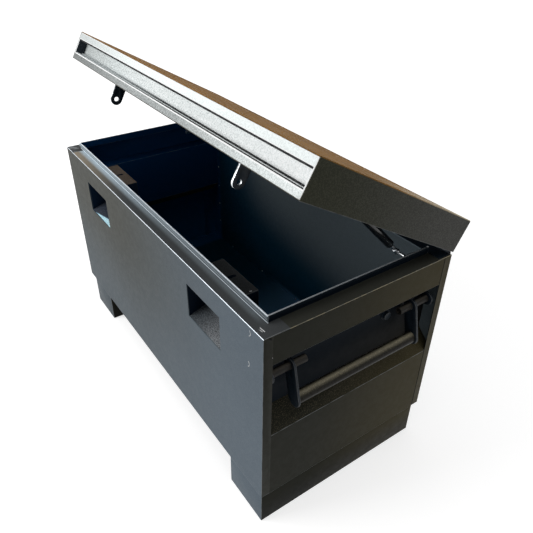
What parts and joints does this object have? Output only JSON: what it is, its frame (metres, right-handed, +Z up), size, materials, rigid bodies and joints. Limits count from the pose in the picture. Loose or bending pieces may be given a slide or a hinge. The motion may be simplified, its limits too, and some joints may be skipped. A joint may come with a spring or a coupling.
{
  "type": "jobsite storage box",
  "caption": "Steel site storage box on two runners, with a strut-held lid, recessed lock pockets and drop handles at the ends.",
  "frame": {"origin": "floor level, under the middle of the box's outer extents as it stands with its lid part open", "axes": "+X along the box to its right end, -Y to the front, +Z up"},
  "size_m": [1.256, 0.6212, 1.0074],
  "materials": {
    "body_paint": "fine-textured black powder coat",
    "dark_paint": "black powder coat on small brackets and arms",
    "lid_front": "bright hammered silver, lightly speckled",
    "lid_top_paint": "satin dark coat that picks up a warm sheen",
    "zinc": "bright zinc plate",
    "bare_steel": "worn bare steel",
    "strut_black": "gloss black enamel",
    "grip_steel": "worn dark tube with polished highlights"
  },
  "bodies": {
    "root": {"front_panel": "body_paint", "back_panel": "body_paint", "base_panel": "body_paint", "left_end_panel": "body_paint", "right_end_panel": "body_paint", "left_end_ledge": "body_paint", "right_end_ledge": "body_paint", "seam_weld_dots": "bare_steel", "left_runner": "body_paint", "right_runner": "body_paint", "left_lock_pocket": "dark_paint", "right_lock_pocket": "dark_paint", "hinge_lower_leaf": "bare_steel", "hinge_pin": "zinc", "left_strut_lower_bracket": "zinc", "right_strut_lower_bracket": "zinc", "left_handle_lugs": "dark_paint", "right_handle_lugs": "dark_paint", "left_handle_pins": "bare_steel", "right_handle_pins": "bare_steel", "recess_bolt": "bare_steel"},
    "lid": {"hinge_upper_leaf": "bare_steel", "lid_top": "lid_top_paint", "left_lid_end": "body_paint", "right_lid_end": "body_paint", "lid_back": "body_paint", "lid_front_channel": "lid_front", "left_lid_rib": "dark_paint", "right_lid_rib": "dark_paint", "left_hasp": "dark_paint", "right_hasp": "dark_paint", "left_strut_upper_bracket": "zinc", "right_strut_upper_bracket": "zinc"},
    "left_strut_barrel": {"left_strut_cylinder": "strut_black", "left_strut_head_socket": "zinc"},
    "left_strut_plunger": {"left_strut_rod": "bare_steel", "left_strut_foot_socket": "zinc"},
    "left_handle": {"left_handle_front_arm": "dark_paint", "left_handle_rear_arm": "dark_paint", "left_handle_grip": "grip_steel", "left_handle_pivot_tubes": "bare_steel"},
    "right_strut_barrel": {"right_strut_cylinder": "strut_black", "right_strut_head_socket": "zinc"},
    "right_strut_plunger": {"right_strut_rod": "bare_steel", "right_strut_foot_socket": "zinc"},
    "right_handle": {"right_handle_front_arm": "dark_paint", "right_handle_rear_arm": "dark_paint", "right_handle_grip": "grip_steel", "right_handle_pivot_tubes": "bare_steel"}
  },
  "joints": [
    {"name": "lid_hinge", "type": "hinge", "parent": "root", "child": "lid", "pos_m": [0, 0.25942, 0.644], "axis": [-1, 0, 0], "range_deg": [-29.6, 45.4]},
    {"name": "left_strut_head", "type": "hinge", "parent": "lid", "child": "left_strut_barrel", "pos_m": [-0.53, -0.07221, 0.8761], "axis": [-1, 0, 0], "range_deg": [-3.5, 5]},
    {"name": "left_strut_slide", "type": "slide", "parent": "left_strut_barrel", "child": "left_strut_plunger", "axis": [0, 0.6954, -0.7187], "range_m": [-0.053, 0.081]},
    {"name": "left_handle_pivot", "type": "hinge", "parent": "root", "child": "left_handle", "pos_m": [-0.585, -0.02258, 0.501], "axis": [0, 1, 0], "range_deg": [-13.6, 76.4]},
    {"name": "right_strut_head", "type": "hinge", "parent": "lid", "child": "right_strut_barrel", "pos_m": [0.53, -0.07221, 0.8761], "axis": [-1, 0, 0], "range_deg": [-3.5, 5]},
    {"name": "right_strut_slide", "type": "slide", "parent": "right_strut_barrel", "child": "right_strut_plunger", "axis": [0, 0.6954, -0.7187], "range_m": [-0.053, 0.081]},
    {"name": "right_handle_pivot", "type": "hinge", "parent": "root", "child": "right_handle", "pos_m": [0.585, -0.02258, 0.501], "axis": [0, -1, 0], "range_deg": [-13.6, 76.4]}
  ],
  "couplings": [
    {"joint": "left_strut_head", "follows": "lid_hinge", "ratio": 0.10149},
    {"joint": "left_strut_slide", "follows": "lid_hinge", "m_per_rad": 0.0998},
    {"joint": "right_strut_head", "follows": "lid_hinge", "ratio": 0.10149},
    {"joint": "right_strut_slide", "follows": "lid_hinge", "m_per_rad": 0.0998}
  ]
}
